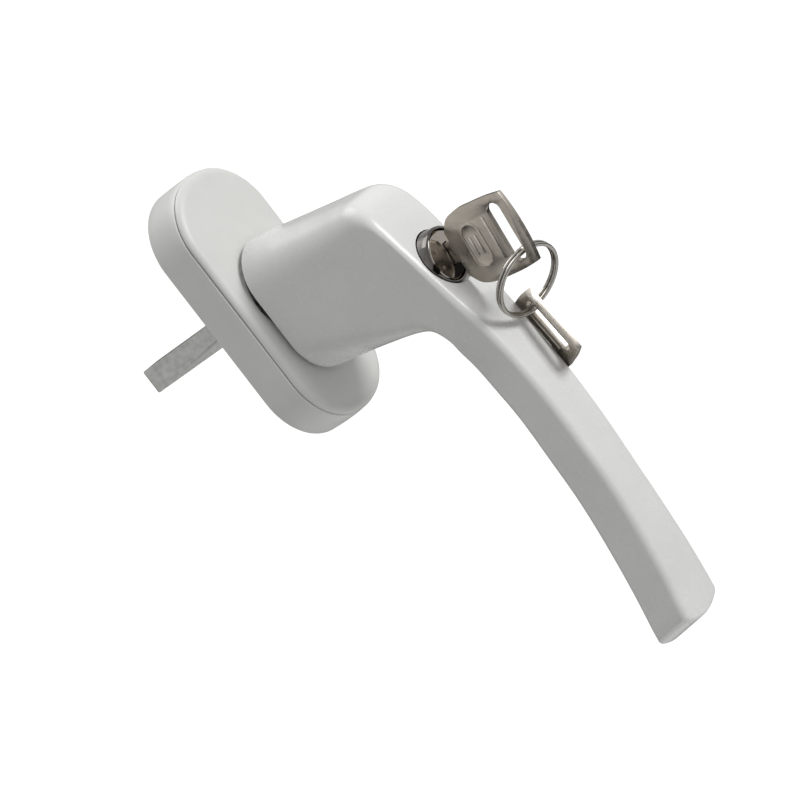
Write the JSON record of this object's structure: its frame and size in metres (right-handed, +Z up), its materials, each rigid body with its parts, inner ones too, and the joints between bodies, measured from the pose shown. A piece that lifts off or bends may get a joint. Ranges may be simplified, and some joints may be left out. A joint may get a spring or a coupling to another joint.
{
  "type": "keyed window lock",
  "caption": "Lockable window lever handle on an oblong rosette, with a square spindle, a key cylinder that shoots a bolt, a key in the lock and a spare on a split ring.",
  "frame": {"origin": "on the spindle's axis, in the plane of the rosette's back, which lies on the window sash", "axes": "+Y goes into the sash along the spindle, so the room is towards -Y; +Z is up the closed handle, whose lever points down; +X is to the right, seen from the room"},
  "size_m": [0.0436, 0.1301, 0.169],
  "materials": {
    "white_paint": "white powder coat, satin",
    "cover_plastic": "white moulded plastic, fine satin",
    "base_plastic": "white moulded plastic, satin",
    "zinc": "zinc plated, dull",
    "steel": "ground",
    "spring_steel": "drawn, oiled",
    "lock_chrome": "polished",
    "lock_face": "dark polished",
    "brass": "machined",
    "nylon": "natural nylon",
    "key_nickel": "nickel plated, tumbled",
    "ring_nickel": "nickel plated"
  },
  "bodies": {
    "rosette": {"rosette_base": "base_plastic", "index_plate": "spring_steel", "bearing_bush": "nylon", "index_plate_screw_1": "steel", "index_plate_screw_2": "steel", "detent_spring_1": "spring_steel", "detent_spring_2": "spring_steel"},
    "cover": {"rosette_cover": "cover_plastic"},
    "ball_1": {"detent_ball_1": "steel"},
    "ball_2": {"detent_ball_2": "steel"},
    "handle": {"handle_body": "white_paint", "spindle": "zinc", "spindle_pin": "steel", "detent_hub": "zinc", "thrust_washer": "steel", "retaining_clip": "spring_steel", "lock_ring": "lock_chrome", "lock_barrel": "brass", "bolt_spring": "spring_steel"},
    "plug": {"lock_plug": "lock_face", "lock_cam": "zinc", "plug_clip": "spring_steel"},
    "bolt": {"locking_bolt": "steel"},
    "wafers_a": {"wafer_1": "brass", "wafer_3": "brass"},
    "wafers_b": {"wafer_2": "brass", "wafer_4": "brass"},
    "key": {"key_in_lock": "key_nickel"},
    "ring": {"split_ring": "ring_nickel"},
    "spare": {"spare_key": "key_nickel"}
  },
  "joints": [
    {"name": "handle_turn", "type": "hinge", "parent": "rosette", "child": "handle", "pos_m": [0, 0, 0], "axis": [0, -1, 0], "range_deg": [0, 180]},
    {"name": "cover_turn", "type": "hinge", "parent": "rosette", "child": "cover", "pos_m": [0, 0, 0], "axis": [0, -1, 0], "range_deg": [0, 90]},
    {"name": "ball_1_slide", "type": "slide", "parent": "rosette", "child": "ball_1", "axis": [-0.7071, 0, 0.7071], "range_m": [0, 0.0006], "stiffness_N_per_m": 800, "springref_m": 0.0009},
    {"name": "ball_2_slide", "type": "slide", "parent": "rosette", "child": "ball_2", "axis": [0.7071, 0, -0.7071], "range_m": [0, 0.0006], "stiffness_N_per_m": 800, "springref_m": 0.0009},
    {"name": "key_turn", "type": "hinge", "parent": "handle", "child": "plug", "pos_m": [0, -0.061, -0.017], "axis": [0, -0.9898, -0.1426], "range_deg": [0, 90]},
    {"name": "bolt_slide", "type": "slide", "parent": "handle", "child": "bolt", "axis": [0, 0.9898, 0.1426], "range_m": [0, 0.003], "deforming": ["bolt_spring"]},
    {"name": "key_pull", "type": "slide", "parent": "plug", "child": "key", "axis": [0, -0.9898, -0.1426], "range_m": [0, 0.024]},
    {"name": "wafers_a_slide", "type": "slide", "parent": "plug", "child": "wafers_a", "axis": [0, 0.1426, -0.9898], "range_m": [0, 0.0007]},
    {"name": "wafers_b_slide", "type": "slide", "parent": "plug", "child": "wafers_b", "axis": [0, -0.1426, 0.9898], "range_m": [0, 0.0007]},
    {"name": "ring_swing", "type": "hinge", "parent": "key", "child": "ring", "pos_m": [0, -0.08247, -0.02717], "axis": [-1, 0, 0], "range_deg": [0, 60]},
    {"name": "spare_key_swing", "type": "hinge", "parent": "ring", "child": "spare", "pos_m": [0.00667, -0.07028, -0.04099], "axis": [-0.8669, 0.4985, 0.0013], "range_deg": [-30, 60]}
  ],
  "couplings": [
    {"joint": "bolt_slide", "follows": "key_turn", "m_per_rad": 0.0019098},
    {"joint": "wafers_a_slide", "follows": "key_pull", "ratio": 0.029166},
    {"joint": "wafers_b_slide", "follows": "key_pull", "ratio": 0.029166}
  ]
}
